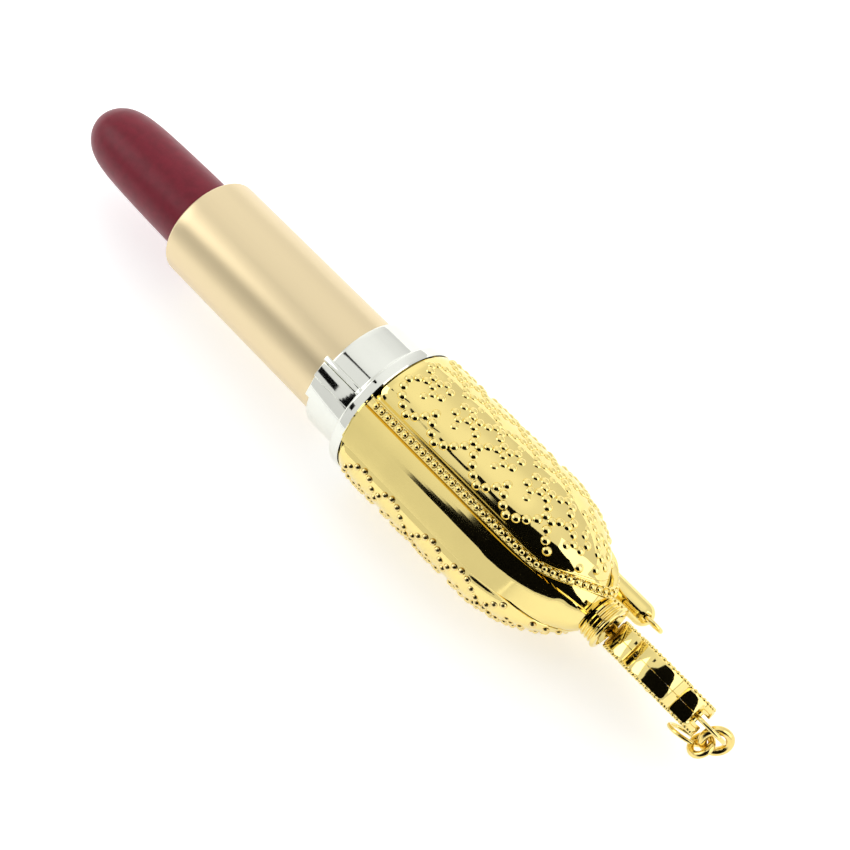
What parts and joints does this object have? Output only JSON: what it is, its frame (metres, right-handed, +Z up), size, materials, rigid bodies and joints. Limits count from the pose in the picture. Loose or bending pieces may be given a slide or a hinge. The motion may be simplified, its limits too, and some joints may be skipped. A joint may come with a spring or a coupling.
{
  "type": "lipstick case",
  "caption": "Twist-up lipstick with its bullet raised, satin sleeve, chrome collar, domed gold case with beaded pillow panels, clover charm and chain links.",
  "frame": {"origin": "on the resting flat of the back panel, under the middle of the case", "axes": "+X along the long axis towards the charm, +Z up off the surface it lies on"},
  "size_m": [0.1315, 0.0223, 0.0221],
  "materials": {
    "lip_colour": "satin wax with fine shimmer",
    "satin_gold": "satin champagne anodised",
    "chrome": "bright plated",
    "gold": "bright gold plated",
    "brass": "plain",
    "steel": "plain turned",
    "white_plastic": "moulded",
    "grey_plastic": "moulded",
    "rubber": "matte"
  },
  "bodies": {
    "root": {"collar": "chrome", "guide_tube": "white_plastic", "friction_ring": "rubber", "case_core": "gold", "base_weight": "steel", "front_panel": "gold", "back_panel": "gold", "bead_rail": "gold", "front_strap": "gold", "rear_strap": "gold", "finial_cup": "gold", "swivel_rivet": "brass"},
    "sleeve": {"sleeve": "satin_gold", "spiral_cam_tube": "grey_plastic"},
    "carriage": {"elevator_cup": "white_plastic", "bullet": "lip_colour"},
    "charm": {"neck_post": "gold", "charm_front_shell": "gold", "charm_back_shell": "gold", "charm_ring_pin": "gold", "charm_rivet_upper": "gold", "charm_rivet_lower": "gold"},
    "jump_ring": {"jump_ring": "gold"},
    "link_large": {"chain_link_large": "gold"},
    "link_small": {"chain_link_small": "gold"},
    "end_ring": {"chain_end_ring": "gold"},
    "lug_ring": {"lug_ring": "gold"}
  },
  "joints": [
    {"name": "sleeve_twist", "type": "hinge", "parent": "root", "child": "sleeve", "pos_m": [-0.02, 0, 0.011], "axis": [1, 0, 0], "range_deg": [0, 450]},
    {"name": "bullet_lift", "type": "slide", "parent": "root", "child": "carriage", "axis": [1, 0, 0], "range_m": [0, 0.0276]},
    {"name": "charm_swivel", "type": "hinge", "parent": "root", "child": "charm", "pos_m": [0.03, 0, 0.011], "axis": [1, 0, 0], "range_deg": [-30, 30]},
    {"name": "jump_ring_swing", "type": "hinge", "parent": "charm", "child": "jump_ring", "pos_m": [0.0433, 0, 0.011], "axis": [0, 0.9511, 0.309], "range_deg": [-12, 12]},
    {"name": "link_large_swing", "type": "hinge", "parent": "jump_ring", "child": "link_large", "pos_m": [0.04718, 0.00061, 0.00912], "axis": [-0.7071, 0.2185, -0.6725], "range_deg": [-16, 8]},
    {"name": "link_small_swing", "type": "hinge", "parent": "link_large", "child": "link_small", "pos_m": [0.04626, -0.001, 0.00749], "axis": [0.6995, 0.0428, -0.7134], "range_deg": [-16, 6]},
    {"name": "end_ring_swing", "type": "hinge", "parent": "link_small", "child": "end_ring", "pos_m": [0.04496, -0.00158, 0.00634], "axis": [0.2834, -0.9513, 0.1216], "range_deg": [-10, 16]},
    {"name": "lug_ring_swing", "type": "hinge", "parent": "root", "child": "lug_ring", "pos_m": [0.0289, 0.00623, 0.00647], "axis": [0, -0.309, 0.9511], "range_deg": [-15, 15]}
  ],
  "couplings": [
    {"joint": "bullet_lift", "follows": "sleeve_twist", "m_per_rad": 0.0035014}
  ]
}
